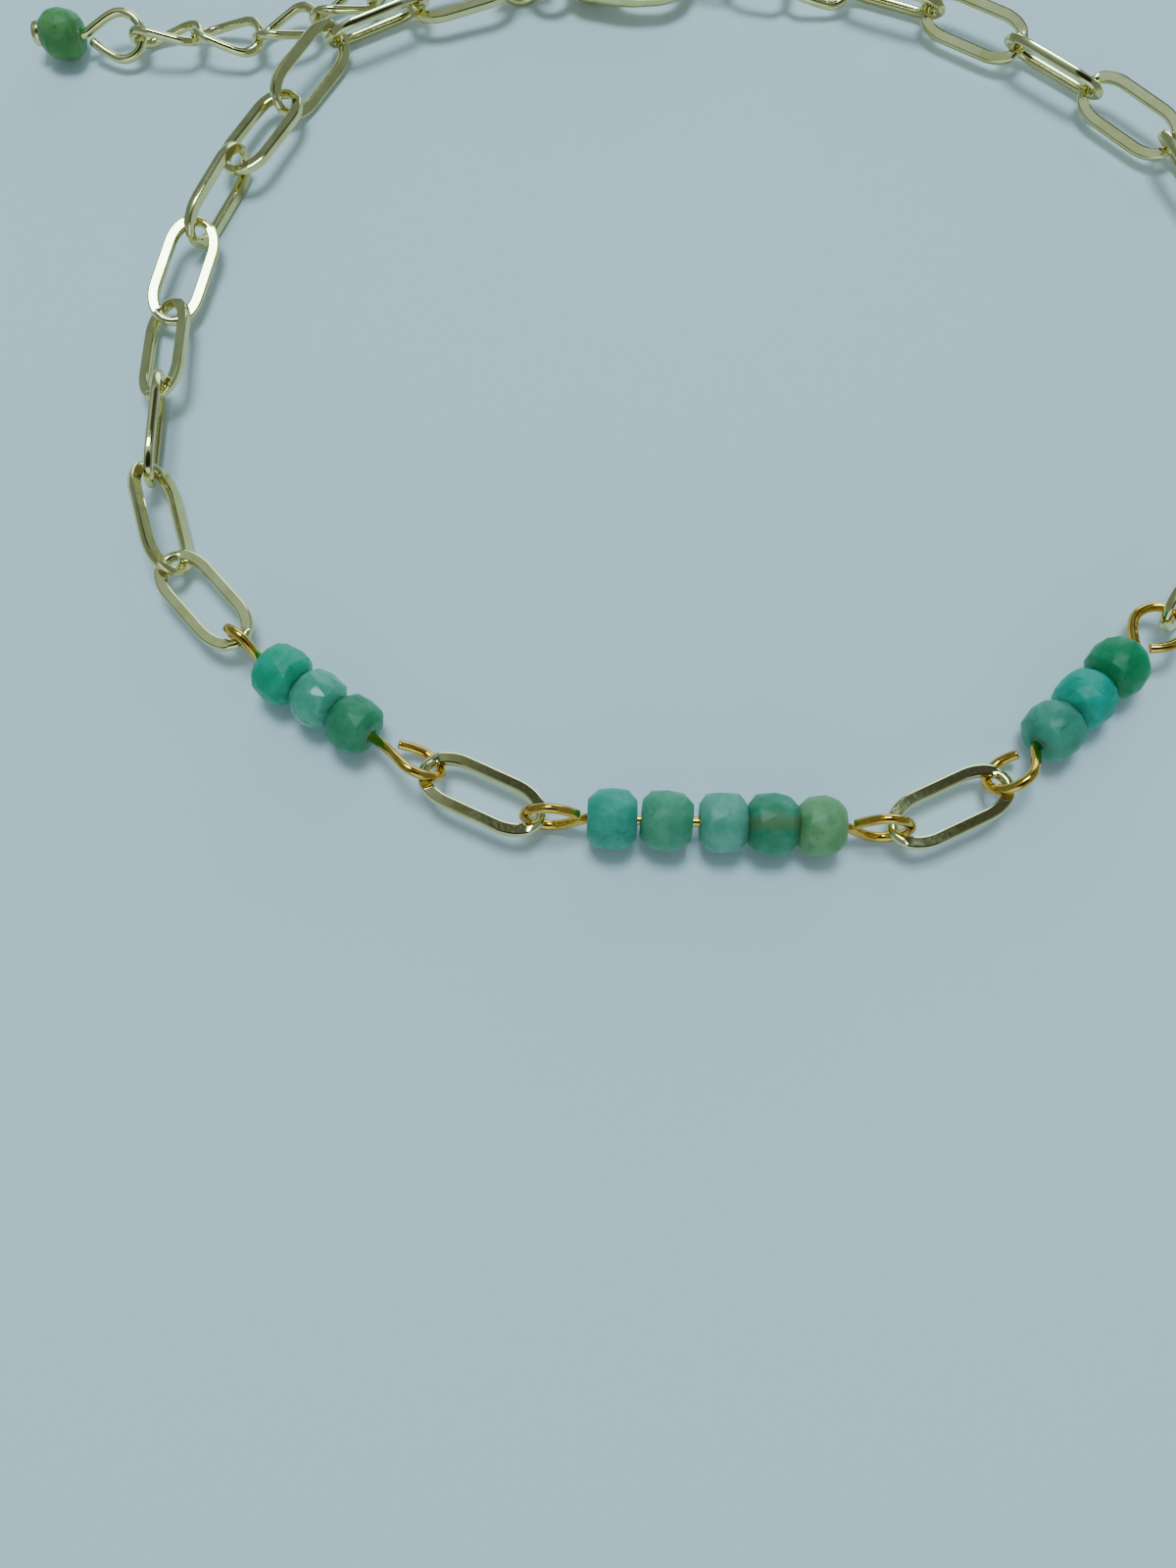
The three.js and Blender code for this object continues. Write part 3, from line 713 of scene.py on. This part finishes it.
def lightRoom(tree):
    direction = addNode(tree, "TexCoord").outputs["Generated"]
    height = addNode(tree, "SeparateXYZ", {"Vector": direction}).outputs["Z"]
    tones = addNode(tree, "ValToRGB", {"Fac": height})
    for position, colour in roomTones[1:-1]:
        tones.color_ramp.elements.new(position)
    for stop, (position, colour) in zip(tones.color_ramp.elements, roomTones):
        stop.color = linearColour(colour)
    light = {name: roomPatch(tree, direction, name) for name in roomPatches}
    lit = addNode(tree, "Math", {0: light["haze"], 1: light["lowWindow"]}, operation="ADD")
    lit = addNode(tree, "Math", {0: lit.outputs["Value"], 1: light["front"]}, operation="ADD")
    cards = addNode(tree, "Math", {0: light["flag"], 1: light["hood"]}, operation="MULTIPLY")
    strength = addNode(tree, "Math", {0: lit.outputs["Value"], 1: cards.outputs["Value"]},
                       operation="MULTIPLY")
    colour = addNode(tree, "MixRGB", {
        "Fac": roomPatch(tree, direction, "flag", (0.0, 1.0)), "Color1": tones.outputs["Color"],
        "Color2": linearColour(roomPatches["flag"]["tone"])})
    glow = addNode(tree, "Background", {
        "Color": colour.outputs["Color"], "Strength": strength.outputs["Value"]})
    addNode(tree, "OutputWorld", {"Surface": glow.outputs["Background"]})


world = scene.world or bpy.data.worlds.new("World")
scene.world = world
world.use_nodes = True
world.node_tree.nodes.clear()
lightRoom(world.node_tree)

light = bpy.data.lights.new("window", "AREA")
light.shape = "RECTANGLE"
light.size, light.size_y = window["size"]
light.energy = window["power"]
light.color = linearColour(window["tint"])[:3]
lamp = bpy.data.objects.new("window", light)
lamp.location = Vector(window["at"]).normalized() * window["away"]
lamp.rotation_euler = lamp.location.to_track_quat("Z", "Y").to_euler()
scene.collection.objects.link(lamp)

# Sizes and places are in millimetres
view = {"at": (-2.671, -39.938, 55.9), "tilt": 15, "focal": 26, "sensor": 34.6, "near": 1, "far": 5000}
lens = bpy.data.cameras.new("camera")
lens.lens = view["focal"]
lens.sensor_width = view["sensor"]
lens.clip_start = view["near"] * mm
lens.clip_end = view["far"] * mm
camera = bpy.data.objects.new("camera", lens)
camera.location = Vector(view["at"]) * mm
camera.rotation_euler = (radians(view["tilt"]), 0, 0)
scene.collection.objects.link(camera)
scene.camera = camera
print("studio lit")
